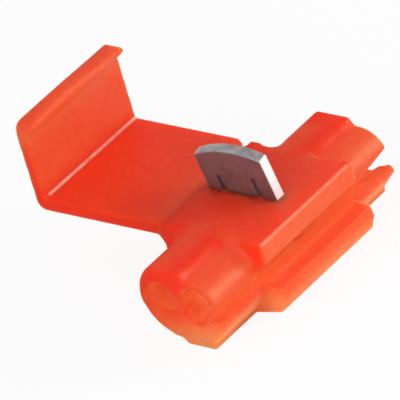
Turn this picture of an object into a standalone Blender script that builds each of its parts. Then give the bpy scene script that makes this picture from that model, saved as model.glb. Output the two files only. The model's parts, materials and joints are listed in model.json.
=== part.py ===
"""Tap connector that clips over a running wire and joins a second wire to it, shown open.

One red moulding carries two parallel wire channels and, on a living hinge, a cover with a catch
along its free wall. A slotted contact blade stands part-way out of its pocket in the moulding.
The wires run along Y. The tap channel is closed, with a wire stop at +Y, and the run channel is
open all along its +X side. The origin is on the underside, midway between the two channels.
"""
import math

import bmesh
import bpy
from mathutils import Matrix, Vector

MM = 0.001

# Housing: overall sizes
HOUSING_LENGTH = 20.5 * MM
BLOCK_LENGTH = 10.94 * MM
BLOCK_LEFT = -4.35 * MM
BLOCK_RIGHT = 4.37 * MM
EDGE_ROUND = 0.12 * MM
ROUND_FROM_ANGLE = math.radians(50)
SHADE_FROM_ANGLE = math.radians(35)
CLEAN_CUT = 1.0 * MM
WELD = 0.001 * MM

# Wire channels
CHANNEL_PITCH = 2.9 * MM
BARREL_LIFT = 0.45 * MM
TAP_BORE = 2.4 * MM
TAP_WALL = 0.6 * MM
TAP_BARREL_RADIUS = 3.0 * MM
TAP_STOP = 1.5 * MM
RUN_BORE = 2.6 * MM
RUN_WALL = 0.53 * MM
RUN_BARREL_RADIUS = 2.1 * MM
BORE_CHAMFER = 0.12 * MM
BORE_SEGMENTS = 40

# Barrel section: top flat, valley between the barrels, upper jaw and lip
FLAT_WIDTH = 2.7 * MM
FLAT_CUT = 0.55 * MM
PLATEAU_RISE = 0.03 * MM
VALLEY_DEPTH = 0.64 * MM
JAW_TIP_ANGLE = math.radians(19)
LIP_REACH = 2.43 * MM
LIP_DROP = 1.32 * MM
LIP_ROUND = 0.3 * MM
LIP_BASE_REACH = 1.08 * MM
FOOT_NOTCH_HEIGHT = 0.45 * MM
FOOT_WIDTH = 2.4 * MM
FOOT_STEP = 0.48 * MM

# Mouth of the run channel
MOUTH_DROP = 0.72 * MM
MOUTH_DROP_AT_ENDS = 0.91 * MM
MOUTH_GAP = 0.42 * MM
MOUTH_GAP_AT_ENDS = 1.35 * MM
MOUTH_SLANT = math.radians(12)
DIP_RADIUS = 1.2 * MM
DIP_DEPTH = 0.45 * MM
DIP_LIFT = 0.02 * MM
FUNNEL_START = 1.48 * MM
FUNNEL_RISE = 0.85 * MM
FUNNEL_OVERCUT = 0.1 * MM

# Lower jaw of the block, which the cover's catch snaps under
JAW_REACH = 5.32 * MM
JAW_NOSE_HEIGHT = 1.63 * MM
JAW_NOSE_ROUND = 0.25 * MM
JAW_TOP_DROP = 0.35 * MM
JAW_TOP_SETBACK = 0.17 * MM
JAW_FOOT_SETBACK = 0.35 * MM
JAW_GROOVE_HEIGHT = 1.0 * MM
JAW_GROOVE_SETBACK = 0.29 * MM
JAW_FOOT_HEIGHT = 0.5 * MM
CATCH_ANGLE = math.radians(42)
CATCH_BEVEL = 0.24 * MM
BLOCK_FOOT_ROUND = 1.2 * MM
BLOCK_TOP_ROUND = 0.35 * MM

# Living hinge
HINGE_WEB = 0.35 * MM
HINGE_SLIT = 0.3 * MM
HINGE_TONGUE = 0.15 * MM
HINGE_NOTCH_DEPTH = 0.71 * MM
HINGE_NOTCH_SLOPE = 0.86 * MM
CLOSED_GAP = 0.1 * MM

# Cover
COVER_THICKNESS = 0.98 * MM
COVER_SIDE_STEP = 0.03 * MM
COVER_EDGE_ROUND = 0.08 * MM
WALL_THICKNESS = 0.85 * MM
WALL_LEAN = math.radians(3.0)
WALL_CLEARANCE = 0.16 * MM
WALL_FOOT_ROUND = 0.7 * MM
WALL_NEAR_ROUND = 1.1 * MM
WALL_FAR_ROUND = 0.35 * MM
WALL_TOP_RISE = 0.28 * MM
WALL_TOP_PEAK = -0.5 * MM
WALL_TOP_BACK = 3.0 * MM
CATCH_CLEARANCE = 0.06 * MM
CATCH_THROW = 0.78 * MM
CATCH_HEIGHT = 1.09 * MM
CATCH_TIP_SLOPE = 0.22 * MM
CATCH_TIP_ROUND = 0.18 * MM
CATCH_BACK_SETBACK = 0.42 * MM
CATCH_BACK_DROP = 0.45 * MM
INNER_FILLET = 0.1 * MM

# Contact blade
BLADE_WIDTH = 6.0 * MM
BLADE_THICKNESS = 0.85 * MM
BLADE_SIDE_HEIGHT = 4.15 * MM
BLADE_DOME = 0.6 * MM
BLADE_EDGE_ROUND = 0.06 * MM
BLADE_EXPOSED = 3.2 * MM
BLADE_X = -0.92 * MM
BLADE_Y = 0.1 * MM
BLADE_TILT = math.radians(5.4)
BLADE_LEAN = math.radians(8.1)
SLOT_PITCH = 3.12 * MM
SLOT_WIDTH = 0.5 * MM
SLOT_LENGTH = 2.35 * MM
SLOT_MOUTH = 1.1 * MM
SLOT_MOUTH_HEIGHT = 0.45 * MM
POCKET_CLEARANCE = 0.12 * MM
PRESS_TRAVEL = 4.06 * MM
POCKET_FLOOR_GAP = 0.1 * MM

# Places worked out from the sizes above
CHANNEL_HEIGHT = BARREL_LIFT + TAP_BARREL_RADIUS
BARREL_HEIGHT = CHANNEL_HEIGHT + TAP_BARREL_RADIUS - FLAT_CUT
HOUSING_HEIGHT = BARREL_HEIGHT + PLATEAU_RISE
MOUTH_FLOOR = CHANNEL_HEIGHT - MOUTH_DROP
MOUTH_FLOOR_AT_ENDS = CHANNEL_HEIGHT - MOUTH_DROP_AT_ENDS
FUNNEL_TOP = CHANNEL_HEIGHT + FUNNEL_RISE
JAW_TOP_HEIGHT = MOUTH_FLOOR - JAW_TOP_DROP
TAP_X = -CHANNEL_PITCH / 2
RUN_X = CHANNEL_PITCH / 2
FOLD_X = BLOCK_LEFT - HINGE_TONGUE - HINGE_SLIT / 2
FOLD_Z = HOUSING_HEIGHT + CLOSED_GAP / 2
COVER_WIDTH = BLOCK_LENGTH - 2 * COVER_SIDE_STEP
JAW_FOOT_X = JAW_REACH - JAW_FOOT_SETBACK
FOOT_X = RUN_X + LIP_BASE_REACH
ARC_STEP = math.radians(10)


def clear_scene():
    for old in list(bpy.data.objects):
        bpy.data.objects.remove(old)


def new_collection(name, parent):
    collection = bpy.data.collections.new(name)
    parent.children.link(collection)
    return collection


def make_material(name, colour, roughness, metallic):
    material = bpy.data.materials.new(name)
    material.use_nodes = True
    shader = material.node_tree.nodes["Principled BSDF"]
    shader.inputs["Base Color"].default_value = (*colour, 1)
    shader.inputs["Roughness"].default_value = roughness
    shader.inputs["Metallic"].default_value = metallic
    return material


def arc(centre, radius, start, end):
    """Points on an arc, both ends included, a fixed angle apart."""
    steps = max(2, math.ceil(abs(end - start) / ARC_STEP))
    points = []
    for step in range(steps + 1):
        angle = start + (end - start) * step / steps
        points.append(Vector((centre[0] + radius * math.cos(angle), centre[1] + radius * math.sin(angle))))
    return points


def rounded(corners):
    """Outline through (x, y, radius) corners, each with its own fillet, or sharp where radius is 0."""
    points = []
    for index, (x, y, radius) in enumerate(corners):
        corner = Vector((x, y))
        if radius == 0:
            points.append(corner)
            continue
        before = Vector(corners[index - 1][:2]) - corner
        after = Vector(corners[(index + 1) % len(corners)][:2]) - corner
        before.normalize()
        after.normalize()
        half = before.angle(after) / 2
        centre = corner + (before + after).normalized() * radius / math.sin(half)
        start = corner + before * radius / math.tan(half) - centre
        end = corner + after * radius / math.tan(half) - centre
        first = math.atan2(start.y, start.x)
        turn = math.remainder(math.atan2(end.y, end.x) - first, math.tau)
        points.extend(arc(centre, radius, first, first + turn))
    return points


def extruded(name, outline, depth, rotation, collection):
    """A flat outline pushed out by half the depth to each side of its plane, as a closed mesh."""
    curve = bpy.data.curves.new(name + "_outline", "CURVE")
    curve.dimensions = "2D"
    curve.fill_mode = "BOTH"
    curve.extrude = depth / 2
    spline = curve.splines.new("POLY")
    spline.points.add(len(outline) - 1)
    for point, place in zip(spline.points, outline):
        point.co = (place[0], place[1], 0, 1)
    spline.use_cyclic_u = True
    flat = bpy.data.objects.new(name + "_outline", curve)
    bpy.context.scene.collection.objects.link(flat)
    flat.rotation_euler = rotation
    bpy.context.view_layer.update()
    mesh = bpy.data.meshes.new_from_object(flat.evaluated_get(bpy.context.evaluated_depsgraph_get()))
    mesh.name = name
    piece = bpy.data.objects.new(name, mesh)
    collection.objects.link(piece)
    piece.matrix_world = flat.matrix_world
    bpy.data.objects.remove(flat)
    cleaned = bmesh.new()
    cleaned.from_mesh(mesh)
    bmesh.ops.remove_doubles(cleaned, verts=cleaned.verts, dist=WELD)
    bmesh.ops.dissolve_limit(cleaned, angle_limit=math.radians(1), verts=cleaned.verts, edges=cleaned.edges)
    bmesh.ops.recalc_face_normals(cleaned, faces=cleaned.faces)
    cleaned.to_mesh(mesh)
    cleaned.free()
    return piece


def along_wires(name, outline, depth, collection):
    """A section in the XZ plane, extruded along Y."""
    return extruded(name, outline, depth, (math.pi / 2, 0, 0), collection)


def across_wires(name, outline, depth, collection):
    """A side view in the YZ plane, extruded along X."""
    return extruded(name, outline, depth, (math.pi / 2, 0, math.pi / 2), collection)


def bore(name, radius_front, radius_back, front, back, x, z, collection):
    """A round cutter along Y, from y = front to y = back, which may taper."""
    mesh = bpy.data.meshes.new(name)
    shape = bmesh.new()
    bmesh.ops.create_cone(
        shape,
        cap_ends=True,
        segments=BORE_SEGMENTS,
        radius1=radius_front,
        radius2=radius_back,
        depth=back - front,
    )
    shape.to_mesh(mesh)
    shape.free()
    cutter = bpy.data.objects.new(name, mesh)
    collection.objects.link(cutter)
    cutter.rotation_euler = (-math.pi / 2, 0, 0)
    cutter.location = (x, (front + back) / 2, z)
    return cutter


def combine(piece, other, operation):
    modifier = piece.modifiers.new(operation.lower() + "_" + other.name, "BOOLEAN")
    modifier.operation = operation
    modifier.solver = "EXACT"
    modifier.object = other


def cut_with_all(piece, collection):
    """One Boolean for every cutter in a collection."""
    modifier = piece.modifiers.new("cut_" + collection.name, "BOOLEAN")
    modifier.operation = "DIFFERENCE"
    modifier.solver = "EXACT"
    modifier.operand_type = "COLLECTION"
    modifier.collection = collection


def hide_guides(collection):
    for guide in collection.all_objects:
        guide.hide_render = True
        guide.display_type = "WIRE"


def triangulate(piece):
    """Leaves no face that a later Boolean could see as slightly bent."""
    piece.modifiers.new("flat_faces", "TRIANGULATE")


def soften(piece, width, segments=2):
    """Rounds the sharp edges and leaves the facets of the arcs as they are."""
    modifier = piece.modifiers.new("edge_round", "BEVEL")
    modifier.width = width
    modifier.segments = segments
    modifier.limit_method = "ANGLE"
    modifier.angle_limit = ROUND_FROM_ANGLE
    triangulate(piece)


def shade_round(piece):
    piece.data.shade_smooth()
    piece.data.set_sharp_from_angle(angle=SHADE_FROM_ANGLE)


def barrel_section():
    """Both wire barrels in one outline, with the mouth of the run channel still filled."""
    tap_x = TAP_X - TAP_BORE / 2 - TAP_WALL + TAP_BARREL_RADIUS
    tap_z = CHANNEL_HEIGHT
    run_z = CHANNEL_HEIGHT + RUN_BORE / 2 + RUN_WALL - RUN_BARREL_RADIUS
    flat_rise = BARREL_HEIGHT - tap_z
    flat_start = math.pi - math.asin(flat_rise / TAP_BARREL_RADIUS)
    flat_left = tap_x + TAP_BARREL_RADIUS * math.cos(flat_start)
    valley_rise = BARREL_HEIGHT - VALLEY_DEPTH - run_z
    valley_angle = math.pi - math.asin(valley_rise / RUN_BARREL_RADIUS)
    foot_left = FOOT_X - FOOT_WIDTH
    step_x = foot_left - FOOT_STEP
    step_angle = -math.acos((step_x - tap_x) / TAP_BARREL_RADIUS)
    lip_x = RUN_X + LIP_REACH
    lip_z = CHANNEL_HEIGHT - LIP_DROP
    jaw_x = RUN_X + RUN_BARREL_RADIUS * math.cos(JAW_TIP_ANGLE)
    outline = [
        Vector((flat_left + FLAT_WIDTH, BARREL_HEIGHT)),
        Vector((flat_left, BARREL_HEIGHT)),
    ]
    outline += arc((tap_x, tap_z), TAP_BARREL_RADIUS, flat_start, math.tau + step_angle)[1:]
    outline += rounded(
        [
            (step_x, tap_z + TAP_BARREL_RADIUS * math.sin(step_angle), 0),
            (foot_left, 0, 0),
            (FOOT_X, 0, 0),
            (FOOT_X, FOOT_NOTCH_HEIGHT, 0),
            (lip_x, lip_z, LIP_ROUND),
            (jaw_x, MOUTH_FLOOR_AT_ENDS, 0),
        ]
    )[1:]
    outline += arc((RUN_X, run_z), RUN_BARREL_RADIUS, JAW_TIP_ANGLE, valley_angle)
    return outline


def jaw_bevel():
    """Both ends of the bevel under the lower jaw, where the catch bears: on the underside, on the side."""
    underside_slope = JAW_FOOT_HEIGHT / (JAW_FOOT_X - FOOT_X)
    low = Vector((JAW_FOOT_X - CATCH_BEVEL, JAW_FOOT_HEIGHT - CATCH_BEVEL * underside_slope))
    high = low + Vector((CATCH_BEVEL, CATCH_BEVEL * math.tan(CATCH_ANGLE)))
    return low, high


def block_section():
    """The middle block, from the hinge tongue round under the lower jaw to the side band."""
    bevel_low, bevel_high = jaw_bevel()
    tongue_x = FOLD_X + HINGE_SLIT / 2
    return rounded(
        [
            (tongue_x, HOUSING_HEIGHT, 0),
            (tongue_x, HOUSING_HEIGHT - HINGE_WEB, 0),
            (BLOCK_LEFT, HOUSING_HEIGHT - HINGE_WEB - HINGE_TONGUE, 0),
            (BLOCK_LEFT, 0, BLOCK_FOOT_ROUND),
            (FOOT_X, 0, 0),
            (*bevel_low, 0),
            (*bevel_high, 0),
            (JAW_REACH - JAW_GROOVE_SETBACK, JAW_GROOVE_HEIGHT, 0),
            (JAW_REACH, JAW_NOSE_HEIGHT, JAW_NOSE_ROUND),
            (JAW_REACH - JAW_TOP_SETBACK, JAW_TOP_HEIGHT, 0),
            (BLOCK_RIGHT, FUNNEL_TOP, 0),
            (BLOCK_RIGHT, HOUSING_HEIGHT, BLOCK_TOP_ROUND),
        ]
    )


def mouth_side_view():
    """The run channel's side opening: narrow along the block, flaring toward both ends."""
    end = HOUSING_LENGTH / 2 + CLEAN_CUT
    block = BLOCK_LENGTH / 2
    ends_grow = CLEAN_CUT / (HOUSING_LENGTH / 2 - block)
    top = MOUTH_FLOOR + MOUTH_GAP
    end_top = MOUTH_FLOOR_AT_ENDS + MOUTH_GAP_AT_ENDS
    far_top = end_top + (end_top - top) * ends_grow
    far_floor = MOUTH_FLOOR_AT_ENDS + (MOUTH_FLOOR_AT_ENDS - MOUTH_FLOOR) * ends_grow
    half = [(block, MOUTH_FLOOR), (end, far_floor), (end, far_top), (block, top)]
    return half + [(-y, z) for y, z in reversed(half)]


def funnel_section():
    """The wedge between the side band and the lower jaw, which guides a wire into the mouth."""
    start = RUN_X + FUNNEL_START
    top = MOUTH_FLOOR + MOUTH_GAP
    top_slope = (FUNNEL_TOP - top) / (BLOCK_RIGHT - start)
    floor_slope = (JAW_TOP_HEIGHT - MOUTH_FLOOR) / (JAW_REACH - JAW_TOP_SETBACK - start)
    inside = start - FUNNEL_OVERCUT
    outside = JAW_REACH + CLEAN_CUT
    return [
        (inside, MOUTH_FLOOR + (inside - start) * floor_slope),
        (outside, MOUTH_FLOOR + (outside - start) * floor_slope),
        (outside, top + (outside - start) * top_slope),
        (inside, top + (inside - start) * top_slope),
    ]


def blade_outline():
    """The contact in its own plane: a domed top, and two wire slots open at the bottom."""
    half = BLADE_WIDTH / 2
    bottom = BLADE_EXPOSED - BLADE_SIDE_HEIGHT
    dome_radius = (half**2 + BLADE_DOME**2) / (2 * BLADE_DOME)
    dome_half = math.asin(half / dome_radius)
    dome_centre = (0, BLADE_EXPOSED + BLADE_DOME - dome_radius)
    upright = math.pi / 2
    outline = arc(dome_centre, dome_radius, upright - dome_half, upright + dome_half)
    outline.append(Vector((-half, bottom)))
    for centre in (-SLOT_PITCH / 2, SLOT_PITCH / 2):
        outline.append(Vector((centre - SLOT_MOUTH / 2, bottom)))
        outline.append(Vector((centre - SLOT_WIDTH / 2, bottom + SLOT_MOUTH_HEIGHT)))
        slot_top = (centre, bottom + SLOT_LENGTH - SLOT_WIDTH / 2)
        outline += arc(slot_top, SLOT_WIDTH / 2, math.pi, 0)
        outline.append(Vector((centre + SLOT_WIDTH / 2, bottom + SLOT_MOUTH_HEIGHT)))
        outline.append(Vector((centre + SLOT_MOUTH / 2, bottom)))
    outline.append(Vector((half, bottom)))
    return outline


def cover_reach():
    """From the fold to the wall's inner face, so that the closed wall clears the nose of the lower jaw."""
    nose_depth = HOUSING_HEIGHT + CLOSED_GAP - JAW_NOSE_HEIGHT
    return JAW_REACH + WALL_CLEARANCE - FOLD_X - nose_depth * math.tan(WALL_LEAN)


def catch_root():
    """Height of the catch's root above the cover, so that it closes just under the bevel of the jaw."""
    ramp = math.tan(CATCH_ANGLE)
    bevel_side = jaw_bevel()[1]
    contact_z = bevel_side.y - CATCH_CLEARANCE / math.cos(CATCH_ANGLE)
    wall_gap = FOLD_X + cover_reach() - bevel_side.x
    closed_top = HOUSING_HEIGHT + CLOSED_GAP
    return (closed_top - contact_z - wall_gap * ramp) / (1 + math.tan(WALL_LEAN) * ramp)


def cover_section():
    """Plate, leaning wall and catch in one outline, thinned to the hinge web at the fold."""
    slant = math.tan(WALL_LEAN)
    foot_x = FOLD_X - cover_reach()
    root = catch_root()
    root_x = foot_x - root * slant
    top = HOUSING_HEIGHT
    catch_top = top + root + CATCH_HEIGHT + WALL_TOP_RISE
    tip = (root_x + CATCH_THROW, top + root + CATCH_THROW * math.tan(CATCH_ANGLE))
    back_z = catch_top - CATCH_BACK_DROP
    back_x = foot_x - (back_z - top) * slant - WALL_THICKNESS
    fold_edge = FOLD_X - HINGE_SLIT / 2
    return rounded(
        [
            (fold_edge, top, 0),
            (foot_x, top, INNER_FILLET),
            (root_x, top + root, INNER_FILLET),
            (*tip, CATCH_TIP_ROUND),
            (tip[0] - CATCH_TIP_SLOPE, catch_top, INNER_FILLET),
            (root_x - CATCH_BACK_SETBACK, catch_top, INNER_FILLET),
            (back_x, back_z, 0),
            (foot_x + COVER_THICKNESS * slant - WALL_THICKNESS, top - COVER_THICKNESS, WALL_FOOT_ROUND),
            (fold_edge - (COVER_THICKNESS - HINGE_WEB), top - COVER_THICKNESS, 0),
            (fold_edge, top - HINGE_WEB, 0),
        ]
    )


def wall_side_view():
    """Outline that trims the cover from the side: rounded wall corners and a slightly raised top edge."""
    half = COVER_WIDTH / 2
    low = HOUSING_HEIGHT - COVER_THICKNESS - CLEAN_CUT
    ends = HOUSING_HEIGHT + catch_root() + CATCH_HEIGHT
    return rounded(
        [
            (-half, low, 0),
            (half, low, 0),
            (half, ends, WALL_FAR_ROUND),
            (WALL_TOP_BACK, ends, 0),
            (WALL_TOP_PEAK, ends + WALL_TOP_RISE, 0),
            (-half, ends, WALL_NEAR_ROUND),
        ]
    )


def build_hinge_notch(joined):
    """The cutter that narrows the cover and the housing's tongue at the far end of the fold."""
    side = COVER_WIDTH / 2
    outside = side + CLEAN_CUT
    outline = [
        (FOLD_X - HINGE_NOTCH_SLOPE, side),
        (BLOCK_LEFT, side - HINGE_NOTCH_DEPTH),
        (BLOCK_LEFT, outside),
        (FOLD_X - HINGE_NOTCH_SLOPE - CLEAN_CUT, outside),
    ]
    notch = extruded("hinge_notch", outline, 2 * COVER_THICKNESS, (0, 0, 0), joined)
    notch.location.z = HOUSING_HEIGHT
    return notch


def build_mouth(cuts):
    """The slot that opens the run channel to the side, slanted so that its floor rises to the lip."""
    mouth = across_wires("run_mouth", mouth_side_view(), 2 * (JAW_REACH - RUN_X), cuts)
    mouth.location.x = JAW_REACH
    bpy.context.view_layer.update()
    lip_edge = Vector((RUN_X + LIP_REACH, 0, MOUTH_FLOOR_AT_ENDS))
    slant = Matrix.Rotation(-MOUTH_SLANT, 4, "Y")
    about_lip = Matrix.Translation(lip_edge) @ slant @ Matrix.Translation(-lip_edge)
    mouth.matrix_world = about_lip @ mouth.matrix_world


def build_dips(cuts):
    """The floor of the run channel drops from the block out to both ends."""
    floor = CHANNEL_HEIGHT - RUN_BORE / 2
    inner = BLOCK_LENGTH / 2
    inner_z = floor + DIP_LIFT + DIP_RADIUS
    slope = (DIP_DEPTH + DIP_LIFT) / (HOUSING_LENGTH / 2 - inner)
    outer = HOUSING_LENGTH / 2 + CLEAN_CUT
    middle_z = inner_z - slope * (outer - inner) / 2
    near = bore("near_dip", DIP_RADIUS, DIP_RADIUS, -outer, -inner, RUN_X, middle_z, cuts)
    near.rotation_euler.x += math.atan(slope)
    far = bore("far_dip", DIP_RADIUS, DIP_RADIUS, inner, outer, RUN_X, middle_z, cuts)
    far.rotation_euler.x -= math.atan(slope)


def build_housing(parts, joined, cuts, notch, plastic):
    """Barrels and block joined, then cut for the wires, the mouth and the contact."""
    housing = along_wires("housing", barrel_section(), HOUSING_LENGTH, parts)
    housing.data.materials.append(plastic)
    soften(housing, EDGE_ROUND)
    block = along_wires("block", block_section(), BLOCK_LENGTH, joined)
    soften(block, EDGE_ROUND)
    combine(block, notch, "DIFFERENCE")
    triangulate(block)
    combine(housing, block, "UNION")
    triangulate(housing)

    build_mouth(cuts)
    along_wires("run_funnel", funnel_section(), BLOCK_LENGTH + 2 * EDGE_ROUND, cuts)

    end = HOUSING_LENGTH / 2
    outside = end + CLEAN_CUT
    tap_radius = TAP_BORE / 2
    run_radius = RUN_BORE / 2
    chamfer = BORE_CHAMFER
    bore("run_bore", run_radius, run_radius, -outside, outside, RUN_X, CHANNEL_HEIGHT, cuts)
    bore("tap_bore", tap_radius, tap_radius, -outside, end - TAP_STOP, TAP_X, CHANNEL_HEIGHT, cuts)
    wide = tap_radius + 2 * chamfer
    narrow = tap_radius - chamfer
    bore("tap_entry", wide, narrow, -end - chamfer, -end + 2 * chamfer, TAP_X, CHANNEL_HEIGHT, cuts)
    build_dips(cuts)
    cut_with_all(housing, cuts)
    return housing


def build_contact(parts, cuts, metal):
    """The blade stands in a pocket of its own outline, on the line along which it is pressed in."""
    guide = bpy.data.objects.new("contact_guide", None)
    parts.objects.link(guide)
    guide.location = (BLADE_X, BLADE_Y, HOUSING_HEIGHT)
    guide.rotation_mode = "YXZ"
    guide.rotation_euler = (BLADE_LEAN, -BLADE_TILT, 0)

    blade = along_wires("contact_blade", blade_outline(), BLADE_THICKNESS, parts)
    blade.data.materials.append(metal)
    soften(blade, BLADE_EDGE_ROUND)
    blade.parent = guide

    half = BLADE_WIDTH / 2 + POCKET_CLEARANCE
    floor = BLADE_EXPOSED - BLADE_SIDE_HEIGHT - PRESS_TRAVEL - POCKET_FLOOR_GAP
    pocket_outline = [(-half, floor), (half, floor), (half, CLEAN_CUT), (-half, CLEAN_CUT)]
    pocket = along_wires("contact_pocket", pocket_outline, BLADE_THICKNESS + 2 * POCKET_CLEARANCE, cuts)
    pocket.parent = guide
    return blade


def build_cover(parts, joined, notch, plastic):
    """The cover hangs from an empty on the fold line, about which it swings."""
    fold = bpy.data.objects.new("cover_fold", None)
    parts.objects.link(fold)
    fold.location = (FOLD_X, 0, FOLD_Z)

    cover = along_wires("cover", cover_section(), COVER_WIDTH, parts)
    cover.data.materials.append(plastic)
    trim_width = 2 * (cover_reach() + WALL_THICKNESS + CLEAN_CUT)
    trim = across_wires("wall_trim", wall_side_view(), trim_width, joined)
    trim.location.x = FOLD_X - trim_width / 2 + CLEAN_CUT
    combine(cover, trim, "INTERSECT")
    combine(cover, notch, "DIFFERENCE")
    soften(cover, COVER_EDGE_ROUND)
    cover.parent = fold
    cover.location = (-FOLD_X, 0, -FOLD_Z)
    return cover


def main():
    clear_scene()
    parts = new_collection("tap_connector", bpy.context.scene.collection)
    guides = new_collection("guides", bpy.context.scene.collection)
    joined = new_collection("joined", guides)
    cuts = new_collection("cuts", guides)
    plastic = make_material("red_plastic", (0.78, 0.07, 0.03), 0.35, 0.0)
    metal = make_material("tinned_brass", (0.72, 0.71, 0.69), 0.3, 1.0)
    notch = build_hinge_notch(joined)
    pieces = [
        build_housing(parts, joined, cuts, notch, plastic),
        build_cover(parts, joined, notch, plastic),
        build_contact(parts, cuts, metal),
    ]
    hide_guides(guides)
    for piece in pieces:
        shade_round(piece)


main()
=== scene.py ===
"""Dresses the open tap connector: one translucent red moulding, its tinned contact, and a pale studio.

Laid out as a Blender add-on: settings, one operator for each piece, one for the stage, and a panel.
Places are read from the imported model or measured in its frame, and the model itself stays as it is.
"""
import json
import math

import bmesh
import bpy
import numpy as np
from mathutils import Euler, Matrix, Vector
from mathutils.bvhtree import BVHTree


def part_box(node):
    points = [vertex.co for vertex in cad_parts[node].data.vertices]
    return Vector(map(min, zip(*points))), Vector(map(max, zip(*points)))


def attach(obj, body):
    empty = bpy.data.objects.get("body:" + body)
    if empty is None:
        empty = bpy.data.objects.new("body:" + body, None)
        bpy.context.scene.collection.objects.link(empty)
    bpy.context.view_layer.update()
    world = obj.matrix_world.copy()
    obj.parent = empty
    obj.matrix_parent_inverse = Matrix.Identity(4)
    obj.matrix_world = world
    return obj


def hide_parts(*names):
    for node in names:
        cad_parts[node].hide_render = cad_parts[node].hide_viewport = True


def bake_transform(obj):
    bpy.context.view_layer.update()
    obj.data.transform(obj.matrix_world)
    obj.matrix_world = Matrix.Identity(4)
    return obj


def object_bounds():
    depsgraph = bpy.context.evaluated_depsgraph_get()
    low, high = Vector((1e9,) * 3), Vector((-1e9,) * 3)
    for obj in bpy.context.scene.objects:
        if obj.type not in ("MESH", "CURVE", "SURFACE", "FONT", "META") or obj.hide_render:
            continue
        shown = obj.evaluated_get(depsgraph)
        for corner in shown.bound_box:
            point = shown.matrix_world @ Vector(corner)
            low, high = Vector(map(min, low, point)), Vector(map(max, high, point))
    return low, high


bl_info = {
    "name": "Tap Connector Dressing",
    "version": (1, 0, 0),
    "blender": (4, 5, 0),
    "location": "3D View > Sidebar > Connector",
    "description": "Builds the visible moulding, contact and studio of a tap connector",
    "category": "Add Mesh",
}

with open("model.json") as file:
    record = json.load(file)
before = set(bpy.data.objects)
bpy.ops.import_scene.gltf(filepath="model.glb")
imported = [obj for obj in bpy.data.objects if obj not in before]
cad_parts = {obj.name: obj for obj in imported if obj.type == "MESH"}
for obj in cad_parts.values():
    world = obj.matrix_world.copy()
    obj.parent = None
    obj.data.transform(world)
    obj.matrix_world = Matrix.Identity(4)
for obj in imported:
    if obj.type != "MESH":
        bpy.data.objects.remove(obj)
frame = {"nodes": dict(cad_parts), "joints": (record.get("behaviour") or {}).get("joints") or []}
CAD_LOW, CAD_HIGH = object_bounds()

MM = 0.001

# Values stored for each vertex, which the materials read by these names
PAINTED_LIGHT = "painted_light"
HOLLOW = "hollow"
REST_PLACE = "rest_place"
TOP_EDGE = "top_edge"
SIDE_EDGE = "side_edge"

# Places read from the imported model
HOUSING_LOW, HOUSING_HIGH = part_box("housing")
COVER_LOW, COVER_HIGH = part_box("cover")
JOINTS = {joint["name"]: joint for joint in frame["joints"]}
FOLD = Vector(JOINTS["cover_hinge"]["pos_m"])
PRESS = Vector(JOINTS["contact_press"]["axis"]).normalized()
BLADE_TILT = math.asin(PRESS.x)
BLADE_LEAN = math.atan2(PRESS.y, -PRESS.z)
BLADE_TURN = Matrix.Rotation(BLADE_LEAN, 3, "X") @ Matrix.Rotation(-BLADE_TILT, 3, "Y")

# The block and its two wire channels
BLOCK_RIGHT = 4.37 * MM
BLOCK_END = 5.47 * MM
CHANNEL_X = 1.45 * MM
CHANNEL_Z = 2.26 * MM

# Painted highlights on two moulded edges, which show as pale lines: x, z, first y, last y and width
WALL_FOOT_HIGHLIGHT = (
    COVER_LOW.x + 1.1675 * MM,
    HOUSING_HIGH.z + 0.02 * MM,
    COVER_LOW.y + 0.44 * MM,
    COVER_HIGH.y + 0.06 * MM,
    0.2 * MM,
)
BLOCK_EDGE_HIGHLIGHT = (
    BLOCK_RIGHT - 0.07 * MM,
    HOUSING_HIGH.z - 0.07 * MM,
    0.07 * MM - BLOCK_END,
    BLOCK_END - 0.37 * MM,
    0.17 * MM,
)
WALL_FOOT_HIGHLIGHT_STRENGTH = 1.0
BLOCK_EDGE_HIGHLIGHT_STRENGTH = 0.4
LINE_FADE = 0.15 * MM

# Joining the cover to the housing at the fold
BEND_REACH = 0.25 * MM
BLOCK_FROM_FOLD = 0.3 * MM
JOIN_OVERLAP = 0.1 * MM
GUSSET_DROP = 0.88 * MM

# The plug fills the pocket's mouth, which is then cut again closer to the blade
PLUG_LOW = Vector((-4.1 * MM, -0.6 * MM, HOUSING_HIGH.z - 0.9 * MM))
PLUG_HIGH = Vector((2.4 * MM, 0.8 * MM, HOUSING_HIGH.z))
POCKET_DEPTH = 1.5 * MM

# Zones of the moulding that are softened further, in millimetres. Four limits say where a zone starts,
# is full, begins to fade and ends. Two limits say where it starts and is full.
VALLEY_ACROSS = (-2.4, -1.8, 1.2, 1.8)
VALLEY_ALONG = (5.5, 6.0, 9.1, 9.9)
VALLEY_ABOVE = (4.4, 4.7)
JUNCTION_ACROSS = (-3.6, -3.2, 3.2, 3.7)
JUNCTION_ALONG = (4.9, 5.3, 6.2, 6.8)
JUNCTION_ABOVE = (4.2, 4.5)
CATCH_ACROSS = (-15.3, -14.7, -13.4, -13.0)
CATCH_ABOVE = (9.4, 10.0)
BORE_RIM_ALONG = (9.5, 9.9)

# The same, where two limits say where a zone begins to fade and ends
CATCH_FAR_END = (4.6, 5.0)
BORE_RIM_FROM_AXIS = (1.5, 1.8)

# Share of the moulding's faces that is kept after the remesh
KEPT_FACES = 0.37

# Where painted light makes the plastic paler, and where painted shade dims the plate, as the start and end
# of each change in millimetres
THICKNESS_SEEN = (0.5, 2.6)
LOW_PART = (0.0, 4.5)
RIGHT_PART = (-3.0, 5.0)
SIDE_BAND_ABOVE = (4.0, 4.4)
CATCH_RIM_ABOVE = (9.5, 11.0)
CATCH_RIM_RIGHT = (-13.3, -12.9)
WALL_ABOVE = (6.3, 7.0)
PLATE_RIGHT = (-6.5, -5.0)
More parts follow.
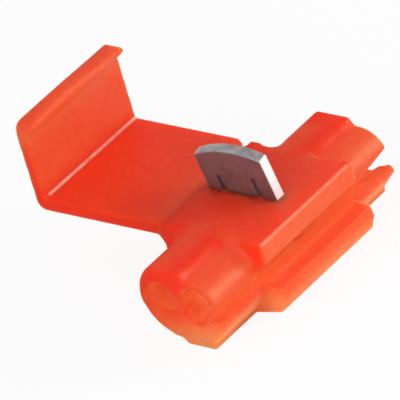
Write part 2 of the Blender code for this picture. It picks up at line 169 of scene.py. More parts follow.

# How much painted light goes there, how much painted shade dims the cover plate, how deep is looked, and
# the smoothing passes over the result
THIN_GLOW = 0.25
LOW_GLOW = 0.62
RIGHT_GLOW = 0.1
LOW_RIGHT_GLOW = 0.25
SIDE_BAND_GLOW = 0.35
FRONT_FOOT_GLOW = 0.7
CATCH_RIM_GLOW = 0.2
WALL_GLOW = 0.06
PLATE_PAINTED_SHADE = 0.11
DEEPEST = 3.0 * MM
GLOW_BLUR = 30

# Hollows: how far a wall may be to close one in, the tilt in degrees and number of the rays in each
# ring, and from which share of closed rays a place counts as hollow, and wholly so
HOLLOW_REACH = 4.0 * MM
HOLLOW_RAYS = ((30, 4), (60, 8))
HOLLOW_SHARE = (0.35, 0.9)

# Which hollows get a painted glow, in millimetres, with the painted glow's strength under the foot and the
# smoothing passes
CHANNELS_TOP = (4.5, 5.1)
CHANNELS_LEFT = (-4.1, -3.7)
FOOT_TOP = (0.8, 1.6)
FOOT_LIGHT = 0.8
HOLLOW_BLUR = 12

# Marks in the plastic, as repeats in a metre, and how strongly two of them darken it
FLOW_MARKS = 420.0
SPECKLES = 2400.0
CLOUDS = 900.0
MOULD_GRAIN = 5200.0
FLOW_DEPTH = 0.12
SPECKLE_DEPTH = 0.14

# The plastic near the foot: heights where it grows duller, and below which light goes less deep
DULLER_BELOW = (3.0 * MM, 4.5 * MM)
DULLER_BY = 0.2
SHALLOW_GLOW_BELOW = 2.5 * MM
SHALLOW_GLOW = 0.35

# The blade's mesh, and the marks and metal share of its tin plating
BLADE_GRAIN = 0.05 * MM
BLADE_ROUNDING = 7
SIDE_EDGE_BAND = (0.12 * MM, 0.04 * MM)
STREAK_STRETCH = (900.0, 900.0, 160.0)
STREAKS = 1.6
PATCHES = 700.0
FACE_METALLIC = 0.72
EDGE_METALLIC = 0.1

# Lamps: direction from the part, distance and size in metres, and power in watts
LAMPS = {
    "key_softbox": ((0.66, 0.6, 0.36), 0.25, 0.09, 0.28),
    "side_softbox": ((0.95, -0.25, 0.1), 0.3, 0.2, 0.155),
    "fill_softbox": ((0.1, -0.85, 0.4), 0.3, 0.25, 0.4),
}
FLOOR_SIZE = 3.0
FLOOR_GAP = 0.02 * MM


def srgb(red, green, blue):
    """Scene-linear colour from the 0 to 255 values that it shows as."""
    linear = []
    for value in (red, green, blue):
        share = value / 255
        linear.append(share / 12.92 if share <= 0.04045 else ((share + 0.055) / 1.055) ** 2.4)
    return tuple(linear)


class MouldingSettings(bpy.types.PropertyGroup):
    """Sizes and colours of the red moulding."""

    grain: bpy.props.FloatProperty(
        name="Grain",
        description="Spacing of the remeshed surface that rounds every moulded edge",
        default=0.08 * MM,
        min=0.05 * MM,
        subtype="DISTANCE",
        unit="LENGTH",
    )
    rounding: bpy.props.IntProperty(
        name="Rounding",
        description="Smoothing passes over the moulded edges",
        default=4,
        min=0,
    )
    valley_rounding: bpy.props.IntProperty(
        name="Valley rounding",
        description="Further smoothing passes over the tops of the two barrels",
        default=90,
        min=0,
    )
    junction_rounding: bpy.props.IntProperty(
        name="Junction rounding",
        description="Further smoothing passes where the barrels meet the block",
        default=110,
        min=0,
    )
    catch_rounding: bpy.props.IntProperty(
        name="Catch rounding",
        description="Further smoothing passes over the inner side of the catch",
        default=140,
        min=0,
    )
    bore_rounding: bpy.props.IntProperty(
        name="Bore rounding",
        description="Further smoothing passes over the rims of the two bores",
        default=30,
        min=0,
    )
    web_thickness: bpy.props.FloatProperty(
        name="Web thickness",
        description="Thickness of the living hinge at the fold",
        default=0.35 * MM,
        subtype="DISTANCE",
        unit="LENGTH",
    )
    fold_slit: bpy.props.FloatProperty(
        name="Fold slit",
        description="Gap under the web between the cover's end and the block",
        default=0.45 * MM,
        subtype="DISTANCE",
        unit="LENGTH",
    )
    gusset: bpy.props.FloatProperty(
        name="Gusset",
        description="Width of the small gusset that closes the near end of the slit",
        default=0.5 * MM,
        subtype="DISTANCE",
        unit="LENGTH",
    )
    pocket_gap: bpy.props.FloatProperty(
        name="Pocket gap",
        description="Visible gap round the blade where it enters its pocket",
        default=0.03 * MM,
        subtype="DISTANCE",
        unit="LENGTH",
    )
    notch_depth: bpy.props.FloatProperty(
        name="Notch depth",
        description="How far the web stops short of the cover's far side",
        default=0.73 * MM,
        subtype="DISTANCE",
        unit="LENGTH",
    )
    colour: bpy.props.FloatVectorProperty(
        name="Colour",
        description="Colour of the plastic where it is thick",
        default=srgb(242, 46, 15),
        subtype="COLOR",
        size=3,
        min=0,
        max=1,
    )
    # Painted light: this paler colour is painted where the plastic is thin, low down, on the right, on the
    # side band, foot, catch rim and wall
    painted_light_colour: bpy.props.FloatVectorProperty(
        name="Glow colour",
        description="Paler colour of the plastic where it is thin and lets light through",
        default=srgb(237, 142, 86),
        subtype="COLOR",
        size=3,
        min=0,
        max=1,
    )
    # Painted highlights: the pale lines along the wall's foot and the block's right edge
    highlight_line_colour: bpy.props.FloatVectorProperty(
        name="Line colour",
        description="Pale colour of the lines along the wall's foot and the block's right edge",
        default=srgb(255, 186, 160),
        subtype="COLOR",
        size=3,
        min=0,
        max=1,
    )
    # Painted glow: strength of the light that the bores, the mouth and the foot's underside emit, though
    # they are no lamp
    hollow_painted_glow: bpy.props.FloatProperty(
        name="Hollow light",
        description="Light that the clear plastic pipes into its bores, its mouth and its foot",
        default=0.16,
        min=0,
        max=1,
        subtype="FACTOR",
    )
    # Painted glow: colour painted into the bores, the mouth and the foot's underside, and the colour they
    # emit
    painted_glow_colour: bpy.props.FloatVectorProperty(
        name="Hollow colour",
        description="Glowing colour of the plastic inside the bores and the mouth",
        default=srgb(252, 142, 84),
        subtype="COLOR",
        size=3,
        min=0,
        max=1,
    )
    roughness: bpy.props.FloatProperty(
        name="Roughness",
        description="Roughness of the moulded surface",
        default=0.46,
        min=0,
        max=1,
        subtype="FACTOR",
    )
    glow_depth: bpy.props.FloatProperty(
        name="Glow depth",
        description="How far light travels under the surface",
        default=7.0 * MM,
        subtype="DISTANCE",
        unit="LENGTH",
    )


class ContactSettings(bpy.types.PropertyGroup):
    """Finish of the tinned contact blade."""

    face_colour: bpy.props.FloatVectorProperty(
        name="Face colour",
        description="Colour of the dull tin on the two faces",
        default=srgb(146, 140, 143),
        subtype="COLOR",
        size=3,
        min=0,
        max=1,
    )
    # Painted shade: the slots are painted dark where shade falls inside them
    slot_shade_colour: bpy.props.FloatVectorProperty(
        name="Slot colour",
        description="Dark tarnish inside the two slots",
        default=srgb(96, 74, 72),
        subtype="COLOR",
        size=3,
        min=0,
        max=1,
    )
    # Painted light: the domed top edge is painted paler than the faces, as lit from above; its darker
    # patches are random tone
    lit_top_colour: bpy.props.FloatVectorProperty(
        name="Top colour",
        description="Colour of the domed top edge where the plating is whole",
        default=srgb(206, 200, 202),
        subtype="COLOR",
        size=3,
        min=0,
        max=1,
    )
    # Painted reflection: the sheared side edges are painted near white as a reflection of the pale floor,
    # and their sheared finish also differs
    edge_reflection_colour: bpy.props.FloatVectorProperty(
        name="Edge colour",
        description="Colour of the bright sheared side edges",
        default=srgb(244, 244, 242),
        subtype="COLOR",
        size=3,
        min=0,
        max=1,
    )
    roughness: bpy.props.FloatProperty(
        name="Roughness",
        description="Roughness of the tin plating",
        default=0.28,
        min=0,
        max=1,
        subtype="FACTOR",
    )


class StageSettings(bpy.types.PropertyGroup):
    """Camera, floor and lights."""

    azimuth: bpy.props.FloatProperty(
        name="Camera azimuth",
        description="Angle of the camera round the part, from -Y towards +X",
        default=math.radians(43.78),
        subtype="ANGLE",
        unit="ROTATION",
    )
    elevation: bpy.props.FloatProperty(
        name="Camera elevation",
        description="Angle of the camera above the floor",
        default=math.radians(30.93),
        subtype="ANGLE",
        unit="ROTATION",
    )
    roll: bpy.props.FloatProperty(
        name="Camera roll",
        description="Tilt of the picture about the line of sight",
        default=math.radians(-14.32),
        subtype="ANGLE",
        unit="ROTATION",
    )
    distance: bpy.props.FloatProperty(
        name="Camera distance",
        description="From the camera to the fold line of the cover",
        default=526.3 * MM,
        subtype="DISTANCE",
        unit="LENGTH",
    )
    focal_length: bpy.props.FloatProperty(
        name="Focal length",
        description="Focal length of the long lens, in millimetres",
        default=686.4,
        min=50,
    )
    framing: bpy.props.FloatVectorProperty(
        name="Framing",
        description="How far right of and above the fold line the camera aims",
        default=(-0.175 * MM, -1.291 * MM),
        size=2,
        subtype="XYZ",
        unit="LENGTH",
    )
    floor_colour: bpy.props.FloatVectorProperty(
        name="Floor colour",
        description="Colour of the plain pale floor",
        default=srgb(250, 250, 250),
        subtype="COLOR",
        size=3,
        min=0,
        max=1,
    )
    shadow: bpy.props.FloatProperty(
        name="Shadow",
        description="How much of the part's shadow the white floor shows",
        default=0.1,
        min=0,
        max=1,
        subtype="FACTOR",
    )
    world_light: bpy.props.FloatProperty(
        name="World light",
        description="Strength of the even white light from all round",
        default=0.5,
        min=0,
    )


def new_material(name):
    """A material with its Principled shader, and the node tree to add to."""
    material = bpy.data.materials.new(name)
    material.use_nodes = True
    return material, material.node_tree, material.node_tree.nodes["Principled BSDF"]


def add_node(tree, kind, **inputs):
    """A node with some of its inputs set by name."""
    node = tree.nodes.new(kind)
    for name, value in inputs.items():
        node.inputs[name.replace("_", " ")].default_value = value
    return node


def stored(tree, name, output="Fac"):
    """What set_attribute stored under a name."""
    node = tree.nodes.new("ShaderNodeAttribute")
    node.attribute_name = name
    return node.outputs[output]


def noise(tree, coordinates, scale, detail=3.0, roughness=0.5):
    """Cloudy noise from 0 to 1."""
    node = add_node(tree, "ShaderNodeTexNoise", Scale=scale, Detail=detail, Roughness=roughness)
    tree.links.new(coordinates, node.inputs["Vector"])
    return node.outputs["Fac"]


def remap(tree, value, low, high, to_low, to_high):
    """A value moved from one range to another, and kept inside it."""
    node = add_node(
        tree, "ShaderNodeMapRange", From_Min=low, From_Max=high, To_Min=to_low, To_Max=to_high
    )
    tree.links.new(value, node.inputs["Value"])
    return node.outputs["Result"]


def fill_socket(tree, socket, value):
    """Links the output of another node, or sets a constant."""
    if isinstance(value, bpy.types.NodeSocket):
        tree.links.new(value, socket)
    else:
        socket.default_value = value


def colour_mix(tree, factor, first, second):
    """A colour between two, each a constant or the output of a node."""
    mix = tree.nodes.new("ShaderNodeMix")
    mix.data_type = "RGBA"
    for name, colour in (("A", first), ("B", second)):
        constant = not isinstance(colour, bpy.types.NodeSocket)
        fill_socket(tree, mix.inputs[name], (*colour, 1) if constant else colour)
    tree.links.new(factor, mix.inputs["Factor"])
    return mix.outputs["Result"]


def darker(colour, share):
    """A colour with every channel multiplied by a share."""
    return [share * channel for channel in colour]


def maths(tree, operation, first, second):
    """A number worked out from two, each a constant or the output of a node."""
    node = tree.nodes.new("ShaderNodeMath")
    node.operation = operation
    fill_socket(tree, node.inputs[0], first)
    fill_socket(tree, node.inputs[1], second)
    return node.outputs["Value"]


def vector_maths(tree, operation, *values, output="Vector"):
    """A vector, or its length, worked out from one or two vectors."""
    node = tree.nodes.new("ShaderNodeVectorMath")
    node.operation = operation
    for socket, value in zip(node.inputs, values):
        fill_socket(tree, socket, value)
    return node.outputs[output]


def split(tree, vector):
    """The X, Y and Z of a vector."""
    node = tree.nodes.new("ShaderNodeSeparateXYZ")
    tree.links.new(vector, node.inputs[0])
    return node.outputs


def line_along_wires(tree, place, x, z, near, far, width):
    """1 on a straight line along Y through (x, z), fading to 0 at the width and at its two ends."""
    offset = vector_maths(tree, "SUBTRACT", place, (x, 0, z))
    across = vector_maths(tree, "MULTIPLY", offset, (1, 0, 1))
    distance = vector_maths(tree, "LENGTH", across, output="Value")
    line = remap(tree, distance, 0.35 * width, width, 1.0, 0.0)
    along = split(tree, place)["Y"]
    started = remap(tree, along, near, near + LINE_FADE, 0.0, 1.0)
    ended = remap(tree, along, far - LINE_FADE, far, 1.0, 0.0)
    return maths(tree, "MULTIPLY", line, maths(tree, "MULTIPLY", started, ended))


def plastic_colour(tree, settings, place, cloud):
    """Deep red where thick and painted paler as light where thin, low down and on the right, with a painted
    glow in the hollows, flow marks, speckles and two painted highlight lines.
    """
    # Painted light: paler where the plastic is thin, low down and on the right
    colour = colour_mix(tree, stored(tree, PAINTED_LIGHT), settings.colour, settings.painted_light_colour)
    # Painted glow: the bores, the mouth and the foot's underside are painted paler
    colour = colour_mix(tree, stored(tree, HOLLOW), colour, settings.painted_glow_colour)
    deep = darker(settings.colour, 0.7)
    flow = noise(tree, place, FLOW_MARKS, 4.0, 0.6)
    colour = colour_mix(tree, remap(tree, flow, 0.3, 0.62, FLOW_DEPTH, 0.0), colour, deep)
    speckle = noise(tree, place, SPECKLES, 2.0)
    colour = colour_mix(tree, remap(tree, speckle, 0.35, 0.62, SPECKLE_DEPTH, 0.0), colour, deep)
    # Painted highlights: pale lines along the wall's foot and the block's right edge
    for line, strength in ((WALL_FOOT_HIGHLIGHT, WALL_FOOT_HIGHLIGHT_STRENGTH), (BLOCK_EDGE_HIGHLIGHT, BLOCK_EDGE_HIGHLIGHT_STRENGTH)):
        pale = line_along_wires(tree, place, *line)
        uneven = remap(tree, cloud, 0.25, 0.6, 0.35 * strength, strength)
        colour = colour_mix(tree, maths(tree, "MULTIPLY", pale, uneven), colour, settings.highlight_line_colour)
    return colour


def plastic_material(settings):
    """Semi-gloss translucent plastic with a fine moulded grain, painted light, and a painted glow that its
    hollows emit, duller and shallower towards the foot.
    """
    material, tree, shader = new_material("red_moulded_plastic")
    place = stored(tree, REST_PLACE, "Vector")
    height = split(tree, place)["Z"]
    cloud = noise(tree, place, CLOUDS)
    tree.links.new(plastic_colour(tree, settings, place, cloud), shader.inputs["Base Color"])

    # Painted glow: the bores, the mouth and the foot's underside emit light, though they are no lamp
    shader.inputs["Emission Color"].default_value = (*settings.painted_glow_colour, 1)
    painted_glow = maths(tree, "MULTIPLY", stored(tree, HOLLOW), settings.hollow_painted_glow)
    tree.links.new(painted_glow, shader.inputs["Emission Strength"])

    low, high = settings.roughness - 0.06, settings.roughness + 0.08
    uneven = remap(tree, cloud, 0.3, 0.7, low, high)
    duller = remap(tree, height, *DULLER_BELOW, DULLER_BY, 0.0)
    tree.links.new(maths(tree, "ADD", uneven, duller), shader.inputs["Roughness"])

    bump = add_node(tree, "ShaderNodeBump", Strength=0.12, Distance=0.02 * MM)
    tree.links.new(noise(tree, place, MOULD_GRAIN, 2.0), bump.inputs["Height"])
    tree.links.new(bump.outputs["Normal"], shader.inputs["Normal"])

    shallow = SHALLOW_GLOW * settings.glow_depth
    depth = remap(tree, height, 0.0, SHALLOW_GLOW_BELOW, shallow, settings.glow_depth)
    tree.links.new(depth, shader.inputs["Subsurface Scale"])
    shader.inputs["Subsurface Weight"].default_value = 1.0
    shader.inputs["Subsurface Radius"].default_value = (1.0, 0.18, 0.1)
    shader.inputs["IOR"].default_value = 1.38
    shader.inputs["Specular IOR Level"].default_value = 0.32
    return material


def tin_material(settings):
    """Tin plating over brass: dull streaked faces, a top painted paler as lit from above with worn patches,
    slots painted with dark shade, and side edges painted near white as a reflection.
    """
    material, tree, shader = new_material("tinned_brass")
    place = add_node(tree, "ShaderNodeTexCoord").outputs["Object"]
    stretch = add_node(tree, "ShaderNodeMapping", Scale=STREAK_STRETCH)
    tree.links.new(place, stretch.inputs["Vector"])
    streaks = noise(tree, stretch.outputs["Vector"], STREAKS, 3.0, 0.5)
    patches = noise(tree, place, PATCHES, 3.0, 0.6)

    dull = darker(settings.face_colour, 0.82)
    colour = colour_mix(tree, remap(tree, patches, 0.35, 0.65, 0.0, 1.0), dull, settings.face_colour)
    # Painted shade: dark inside the slots
    colour = colour_mix(tree, stored(tree, HOLLOW), colour, settings.slot_shade_colour)
    # Painted light: the domed top edge is paler, with worn patches
    worn = darker(settings.lit_top_colour, 0.62)
    top = colour_mix(tree, remap(tree, patches, 0.38, 0.6, 0.0, 1.0), worn, settings.lit_top_colour)
    colour = colour_mix(tree, stored(tree, TOP_EDGE), colour, top)
    # Painted reflection: the sheared side edges are near white, partly their own sheared finish
    side_edge = stored(tree, SIDE_EDGE)
    colour = colour_mix(tree, side_edge, colour, settings.edge_reflection_colour)
    tree.links.new(colour, shader.inputs["Base Color"])

    low, high = settings.roughness - 0.06, settings.roughness + 0.1
    tree.links.new(remap(tree, streaks, 0.3, 0.7, low, high), shader.inputs["Roughness"])
    bump = add_node(tree, "ShaderNodeBump", Strength=0.06, Distance=0.01 * MM)
    tree.links.new(streaks, bump.inputs["Height"])
    tree.links.new(bump.outputs["Normal"], shader.inputs["Normal"])
    metallic = remap(tree, side_edge, 0.0, 1.0, FACE_METALLIC, EDGE_METALLIC)
    tree.links.new(metallic, shader.inputs["Metallic"])
    return material


def copy_of_nodes(names):
    """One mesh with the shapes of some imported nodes, welded, as a bmesh."""
    shape = bmesh.new()
    for name in names:
        shape.from_mesh(frame["nodes"][name].data)
    bmesh.ops.remove_doubles(shape, verts=shape.verts, dist=0.001 * MM)
    return shape


def add_box(shape, low, high):
    """A box between two corners."""
    size = high - low
    matrix = Matrix.Translation((low + high) / 2) @ Matrix.Diagonal((*size, 1))
    bmesh.ops.create_cube(shape, size=1, matrix=matrix)


def add_prism(shape, outline, start, end):
    """An outline of (x, z) points, pushed along the wires from y = start to y = end."""
    near = [shape.verts.new((x, start, z)) for x, z in outline]
    face = shape.faces.new(near)
    pushed = bmesh.ops.extrude_face_region(shape, geom=[face])["geom"]
    for item in pushed:
        if isinstance(item, bmesh.types.BMVert):
            item.co.y = end
    bmesh.ops.recalc_face_normals(shape, faces=shape.faces)


def ease(values, low, high):
    """0 up to low, 1 from high, and a smooth rise between them."""
    share = np.clip((values - low) / (high - low), 0, 1)
    return share * share * (3 - 2 * share)


def rise(values, limits):
    """0 up to the first of two limits in millimetres, 1 from the second, and a smooth rise between."""
    low, high = (limit * MM for limit in limits)
    return ease(values, low, high)


def zone(values, limits):
    """1 between the two inner of four limits in millimetres, fading to 0 at the outer two."""
    return rise(values, limits[:2]) * (1 - rise(values, limits[2:]))


def vertex_places(mesh):
    """Every vertex's place, one row each."""
    places = np.empty(3 * len(mesh.vertices))
    mesh.vertices.foreach_get("co", places)
    return places.reshape(-1, 3)


def relax(mesh, values, passes, share):
    """Evens out the values, one row for each vertex, with its neighbours' rows, by the vertex's share."""
    ends = np.empty(2 * len(mesh.edges), dtype=np.int64)
    mesh.edges.foreach_get("vertices", ends)
    first, second = ends[::2], ends[1::2]
    count = len(values)
    neighbours = np.bincount(first, minlength=count) + np.bincount(second, minlength=count)
    neighbours = np.maximum(neighbours, 1)
    step = 0.5 * np.broadcast_to(share, count)
    for _ in range(passes):
        for column in values.T:
            total = np.bincount(first, column[second], count) + np.bincount(second, column[first], count)
            column += step * (total / neighbours - column)
    return values


def remeshed(name, shape, grain, keep, soften):
    """A smooth closed skin over the shape: voxels of the grain's size, softened, then thinned out.

    The voxels are made in millimetres, because the remesher has a smallest size in metres.
    """
    shape.transform(Matrix.Scale(1 / MM, 4))
    rough = bpy.data.meshes.new(name)
    shape.to_mesh(rough)
    shape.free()
    piece = bpy.data.objects.new(name, rough)
    bpy.context.scene.collection.objects.link(piece)
    voxels = piece.modifiers.new("voxels", "REMESH")
    voxels.mode = "VOXEL"
    voxels.voxel_size = grain / MM
    piece.data = applied(piece)
    places = vertex_places(piece.data) * MM
    soften(piece.data, places)
    piece.data.vertices.foreach_set("co", (places / MM).ravel())
    piece.data.update()
    if keep < 1:
        thin = piece.modifiers.new("thin_out", "DECIMATE")
        thin.ratio = keep
        piece.data = applied(piece)
    piece.data.transform(Matrix.Scale(MM, 4))
    piece.data.name = name
    piece.data.shade_smooth()
    bpy.data.meshes.remove(rough)
    return piece


def applied(piece):
    """The piece's mesh with its modifiers applied, which are then taken off."""
    evaluated = piece.evaluated_get(bpy.context.evaluated_depsgraph_get())
    mesh = bpy.data.meshes.new_from_object(evaluated)
    piece.modifiers.clear()
    return mesh


def moulding_shape(settings):
    """Housing and cover joined by the web, with the plate's end filled and a gusset at its near side."""
    shape = copy_of_nodes(("housing", "cover"))
    top = HOUSING_HIGH.z
    under = top - settings.web_thickness
    floor = COVER_LOW.z
    near, far = COVER_LOW.y, COVER_HIGH.y - settings.notch_depth
    add_box(shape, Vector((FOLD.x - BEND_REACH, near, under)), Vector((FOLD.x + BEND_REACH, far, top)))
    wall_x = FOLD.x + BLOCK_FROM_FOLD
    end_x = wall_x - settings.fold_slit
    back_x = COVER_HIGH.x - MM
    plate_end = [(end_x, floor), (end_x, under), (back_x, under), (back_x, floor)]
    add_prism(shape, plate_end, near, far)
    inside_x = wall_x + JOIN_OVERLAP
    gusset = [(end_x, floor), (inside_x, floor - GUSSET_DROP), (inside_x, top), (end_x, top)]
    add_prism(shape, gusset, near, near + settings.gusset)
    add_box(shape, PLUG_LOW, PLUG_HIGH)
    return shape


def soften_moulding(mesh, places, settings):
    """Rounds every edge a little, and the valleys, junctions, catch and bore rims more."""
    relax(mesh, places, settings.rounding, 1.0)
    x, y, z = places.T
    valleys = zone(np.abs(y), VALLEY_ALONG) * zone(x, VALLEY_ACROSS) * rise(z, VALLEY_ABOVE)
    relax(mesh, places, settings.valley_rounding, valleys)
    junctions = zone(np.abs(y), JUNCTION_ALONG) * zone(x, JUNCTION_ACROSS) * rise(z, JUNCTION_ABOVE)
    relax(mesh, places, settings.junction_rounding, junctions)
    catch = zone(x, CATCH_ACROSS) * rise(z, CATCH_ABOVE) * (1 - rise(y, CATCH_FAR_END))
    relax(mesh, places, settings.catch_rounding, catch)
    for side in (-1, 1):
        from_axis = np.hypot(x - side * CHANNEL_X, z - CHANNEL_Z)
        rims = rise(np.abs(y), BORE_RIM_ALONG) * (1 - rise(from_axis, BORE_RIM_FROM_AXIS))
        relax(mesh, places, settings.bore_rounding, rims)


def cut_pocket(piece, gap):
    """A crisp slot with the blade's own section through the top of the block."""
    blade = frame["nodes"]["contact_blade"].data
    root = Vector((0, 0, HOUSING_HIGH.z))
    local = [BLADE_TURN.transposed() @ (vertex.co - root) for vertex in blade.vertices]
    low = Vector([min(point[axis] for point in local) for axis in range(3)])
    high = Vector([max(point[axis] for point in local) for axis in range(3)])
    low -= Vector((gap, gap, POCKET_DEPTH))
    high += Vector((gap, gap, 0))
    box = bmesh.new()
    add_box(box, low, high)
    box.transform(Matrix.Translation(root) @ BLADE_TURN.to_4x4())
    cutter_mesh = bpy.data.meshes.new("pocket_cutter")
    box.to_mesh(cutter_mesh)
    box.free()
    cutter = bpy.data.objects.new("pocket_cutter", cutter_mesh)
    bpy.context.scene.collection.objects.link(cutter)
    cut = piece.modifiers.new("pocket", "BOOLEAN")
    cut.operation = "DIFFERENCE"
    cut.solver = "MANIFOLD"
    cut.object = cutter
    piece.data = applied(piece)
    bpy.data.objects.remove(cutter)


def ray_tree(mesh):
    """A tree that finds where rays meet the mesh."""
    return BVHTree.FromPolygons(
        [vertex.co for vertex in mesh.vertices], [face.vertices for face in mesh.polygons]
    )


def rays_upward():
    """One ray straight up and rings of tilted ones round it."""
    rays = [Vector((0, 0, 1))]
    for tilt, count in HOLLOW_RAYS:
        outward, upward = math.sin(math.radians(tilt)), math.cos(math.radians(tilt))
        for step in range(count):
            angle = math.tau * step / count
            rays.append(Vector((outward * math.cos(angle), outward * math.sin(angle), upward)))
    return rays


def wall_hollow(mesh, tree):
    """How far each vertex lies in a hollow, from the share of the rays above it that meet a wall."""
    rays = rays_upward()
    closed = np.zeros(len(mesh.vertices))
    for vertex in mesh.vertices:
        turn = vertex.normal.to_track_quat("Z", "Y")
        start = vertex.co + vertex.normal * 0.02 * MM
        hits = sum(tree.ray_cast(start, turn @ ray, HOLLOW_REACH)[0] is not None for ray in rays)
        closed[vertex.index] = hits / len(rays)
    return ease(closed, *HOLLOW_SHARE)


def painted_glow_in_hollows(mesh, tree):
    """Painted glow for each vertex, on the walls of the bores and the mouth and under the foot, where light
    through the clear plastic is painted in.
    """
    x, _, z = vertex_places(mesh).T
    channels = (1 - rise(z, CHANNELS_TOP)) * rise(x, CHANNELS_LEFT)
    downward = np.array([-vertex.normal.z for vertex in mesh.vertices])
    foot = FOOT_LIGHT * ease(downward, 0.1, 0.6) * (1 - rise(z, FOOT_TOP))
    light = np.maximum(wall_hollow(mesh, tree) * channels, foot)
    return relax(mesh, light.reshape(-1, 1), HOLLOW_BLUR, 1.0).ravel()


def wall_thickness(mesh, tree):
    """How much plastic lies behind each vertex, up to a depth past which no light comes through."""
    thickness = np.empty(len(mesh.vertices))
    for vertex in mesh.vertices:
        inward = -vertex.normal
        hit = tree.ray_cast(vertex.co + inward * 0.01 * MM, inward, DEEPEST)
        thickness[vertex.index] = DEEPEST if hit[0] is None else hit[3]
    return thickness


def painted_light_and_shade(mesh, tree):
    """Painted light for each vertex: paler where the plastic is thin, low down and on the right, with
    painted shade on the cover plate.
    """
    x, _, z = vertex_places(mesh).T
    normals = np.array([vertex.normal for vertex in mesh.vertices])
    thin = 1 - rise(wall_thickness(mesh, tree), THICKNESS_SEEN)
    low = (1 - rise(z, LOW_PART)) ** 2
    right = rise(x, RIGHT_PART)
    side_band = ease(normals[:, 0], 0.5, 0.8) * rise(z, SIDE_BAND_ABOVE)
    front_foot = ease(-normals[:, 1], 0.5, 0.8) * low
    catch_rim = rise(z, CATCH_RIM_ABOVE) * (1 - rise(x, CATCH_RIM_RIGHT))
    wall = rise(z, WALL_ABOVE)
    # Painted shade: the cover plate beside the hinge is dimmed
    plate = (1 - rise(x, PLATE_RIGHT)) * (1 - wall)
    from_right = RIGHT_GLOW + LOW_RIGHT_GLOW * low
    from_right = from_right + SIDE_BAND_GLOW * side_band + FRONT_FOOT_GLOW * front_foot
    painted_light = THIN_GLOW * thin + LOW_GLOW * low + right * from_right
    painted_light = np.clip(painted_light + CATCH_RIM_GLOW * catch_rim + WALL_GLOW * wall - PLATE_PAINTED_SHADE * plate, 0, 1)
    return relax(mesh, painted_light.reshape(-1, 1), GLOW_BLUR, 1.0).ravel()


def set_attribute(mesh, name, values):
    """Stores a number or a place for each vertex, under a name that a material can read."""
    values = np.ascontiguousarray(values, dtype=np.float32)
    if values.ndim == 1:
        mesh.attributes.new(name, "FLOAT", "POINT").data.foreach_set("value", values)
    else:
        mesh.attributes.new(name, "FLOAT_VECTOR", "POINT").data.foreach_set("vector", values.ravel())


class CONNECTOR_OT_moulding(bpy.types.Operator):
    """Builds the one-piece moulding, with its hinge web"""

    bl_idname = "connector.moulding"
    bl_label = "Build moulding"

    def execute(self, context):
        settings = context.scene.connector_moulding

        def soften(mesh, places):
            soften_moulding(mesh, places, settings)

        moulding = remeshed("moulding", moulding_shape(settings), settings.grain, KEPT_FACES, soften)
        cut_pocket(moulding, settings.pocket_gap)
        mesh = moulding.data
        tree = ray_tree(mesh)
        set_attribute(mesh, PAINTED_LIGHT, painted_light_and_shade(mesh, tree))
        set_attribute(mesh, HOLLOW, painted_glow_in_hollows(mesh, tree))
        set_attribute(mesh, REST_PLACE, vertex_places(mesh))
        mesh.materials.clear()
        mesh.materials.append(plastic_material(settings))
        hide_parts("housing", "cover")
        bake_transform(moulding)
        return {"FINISHED"}


class CONNECTOR_OT_contact(bpy.types.Operator):
    """Builds the tinned contact blade"""

    bl_idname = "connector.contact"
    bl_label = "Build contact"

    def execute(self, context):
        settings = context.scene.connector_contact

        def soften(mesh, places):
            relax(mesh, places, BLADE_ROUNDING, 1.0)

        shape = copy_of_nodes(("contact_blade",))
        blade = remeshed("tinned_contact", shape, BLADE_GRAIN, 1.0, soften)
        mesh = blade.data
        local = vertex_places(mesh) @ np.array(BLADE_TURN)
        normals = np.array([vertex.normal for vertex in mesh.vertices]) @ np.array(BLADE_TURN)
        across = local[:, 0] - (local[:, 0].min() + local[:, 0].max()) / 2
        half = across.max()
        band_start, band_full = (half - inset for inset in SIDE_EDGE_BAND)
        outer = ease(np.abs(across), band_start, band_full)
        set_attribute(mesh, SIDE_EDGE, outer * ease(np.abs(normals[:, 0]), 0.6, 0.8))
        set_attribute(mesh, TOP_EDGE, ease(normals[:, 2], 0.4, 0.7))
        set_attribute(mesh, HOLLOW, wall_hollow(mesh, ray_tree(mesh)))
        mesh.materials.clear()
        mesh.materials.append(tin_material(settings))
        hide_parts("contact_blade")
        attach(blade, "contact")
        return {"FINISHED"}


def floor_material(settings):
    """Pale floor that looks white to the camera and in reflections, and keeps the part's pale shadow."""
    material, tree, shader = new_material("pale_floor")
    shader.inputs["Base Color"].default_value = (*settings.floor_colour, 1)
    shader.inputs["Roughness"].default_value = 0.9
    shader.inputs["Specular IOR Level"].default_value = 0.0
    white = add_node(tree, "ShaderNodeEmission", Color=(1, 1, 1, 1), Strength=1.0)
    rays = tree.nodes.new("ShaderNodeLightPath").outputs
    seen = rays["Is Camera Ray"]
    for name in ("Is Glossy Ray", "Is Transmission Ray"):
        seen = maths(tree, "MAXIMUM", seen, rays[name])
    mix = tree.nodes.new("ShaderNodeMixShader")
    tree.links.new(remap(tree, seen, 0.0, 1.0, 0.0, 1.0 - settings.shadow), mix.inputs["Fac"])
    tree.links.new(shader.outputs["BSDF"], mix.inputs[1])
    tree.links.new(white.outputs["Emission"], mix.inputs[2])
    tree.links.new(mix.outputs["Shader"], tree.nodes["Material Output"].inputs["Surface"])
    return material


def add_floor(settings):
    """The floor, a hair under the part's underside."""
    mesh = bpy.data.meshes.new("floor")
    shape = bmesh.new()
    bmesh.ops.create_grid(shape, x_segments=1, y_segments=1, size=FLOOR_SIZE)
    shape.to_mesh(mesh)
    shape.free()
    floor = bpy.data.objects.new("floor", mesh)
    bpy.context.scene.collection.objects.link(floor)
    floor.location.z = HOUSING_LOW.z - FLOOR_GAP
    mesh.materials.append(floor_material(settings))


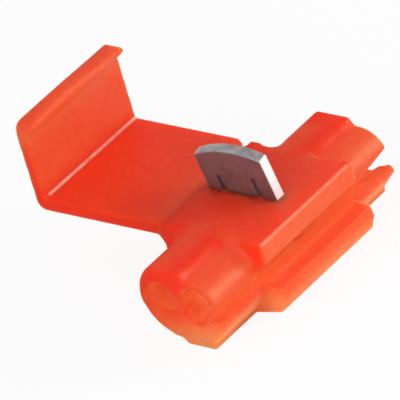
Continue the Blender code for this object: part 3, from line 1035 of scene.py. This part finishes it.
def add_world(settings):
    """Even white light from all round."""
    world = bpy.data.worlds.new("studio")
    world.use_nodes = True
    background = world.node_tree.nodes["Background"]
    background.inputs["Color"].default_value = (1, 1, 1, 1)
    background.inputs["Strength"].default_value = settings.world_light
    bpy.context.scene.world = world


def add_lamps():
    """Round softboxes that face the middle of the part."""
    centre = (CAD_LOW + CAD_HIGH) / 2
    for name, (direction, distance, size, power) in LAMPS.items():
        data = bpy.data.lights.new(name, "AREA")
        data.shape = "DISK"
        data.size = size
        data.energy = power
        lamp = bpy.data.objects.new(name, data)
        bpy.context.scene.collection.objects.link(lamp)
        lamp.location = centre + Vector(direction).normalized() * distance
        lamp.rotation_euler = (lamp.location - centre).to_track_quat("Z", "Y").to_euler()


def add_camera(settings):
    """The camera, which looks at the fold line from the photograph's angle."""
    turn = Euler((math.pi / 2 - settings.elevation, 0, settings.azimuth), "XYZ").to_matrix()
    turn = turn @ Matrix.Rotation(settings.roll, 3, "Z")
    right, up, back = turn.col
    data = bpy.data.cameras.new("camera")
    data.lens = settings.focal_length
    data.clip_start = 10 * MM
    camera = bpy.data.objects.new("camera", data)
    bpy.context.scene.collection.objects.link(camera)
    pivot = Vector((FOLD.x, 0, HOUSING_HIGH.z))
    aim = pivot + right * settings.framing[0] + up * settings.framing[1]
    camera.matrix_world = Matrix.Translation(aim + back * settings.distance) @ turn.to_4x4()
    bpy.context.scene.camera = camera


class CONNECTOR_OT_stage(bpy.types.Operator):
    """Builds the floor, the lights and the camera at the photograph's angle"""

    bl_idname = "connector.stage"
    bl_label = "Build stage"

    def execute(self, context):
        settings = context.scene.connector_stage
        context.scene.view_settings.view_transform = "Standard"
        add_floor(settings)
        add_world(settings)
        add_lamps()
        add_camera(settings)
        return {"FINISHED"}


class CONNECTOR_PT_panel(bpy.types.Panel):
    """Lists the connector's pieces and their settings"""

    bl_idname = "CONNECTOR_PT_panel"
    bl_label = "Tap connector"
    bl_space_type = "VIEW_3D"
    bl_region_type = "UI"
    bl_category = "Connector"

    def draw(self, context):
        layout = self.layout
        for group_name, operator in STEPS:
            group = getattr(context.scene, group_name)
            box = layout.box()
            for name in group.__annotations__:
                box.prop(group, name)
            box.operator(operator)


STEPS = (
    ("connector_moulding", "connector.moulding"),
    ("connector_contact", "connector.contact"),
    ("connector_stage", "connector.stage"),
)
GROUPS = {
    "connector_moulding": MouldingSettings,
    "connector_contact": ContactSettings,
    "connector_stage": StageSettings,
}
CLASSES = (
    *GROUPS.values(),
    CONNECTOR_OT_moulding,
    CONNECTOR_OT_contact,
    CONNECTOR_OT_stage,
    CONNECTOR_PT_panel,
)


def register():
    """Registers the classes and puts each group of settings on the scene."""
    for cls in CLASSES:
        bpy.utils.register_class(cls)
    for name, group in GROUPS.items():
        setattr(bpy.types.Scene, name, bpy.props.PointerProperty(type=group))


def unregister():
    """Takes the settings off the scene and unregisters the classes."""
    for name in GROUPS:
        delattr(bpy.types.Scene, name)
    for cls in reversed(CLASSES):
        bpy.utils.unregister_class(cls)


def main():
    """Builds every piece and the stage."""
    register()
    bpy.ops.connector.moulding()
    bpy.ops.connector.contact()
    bpy.ops.connector.stage()


if __name__ == "__main__":
    main()
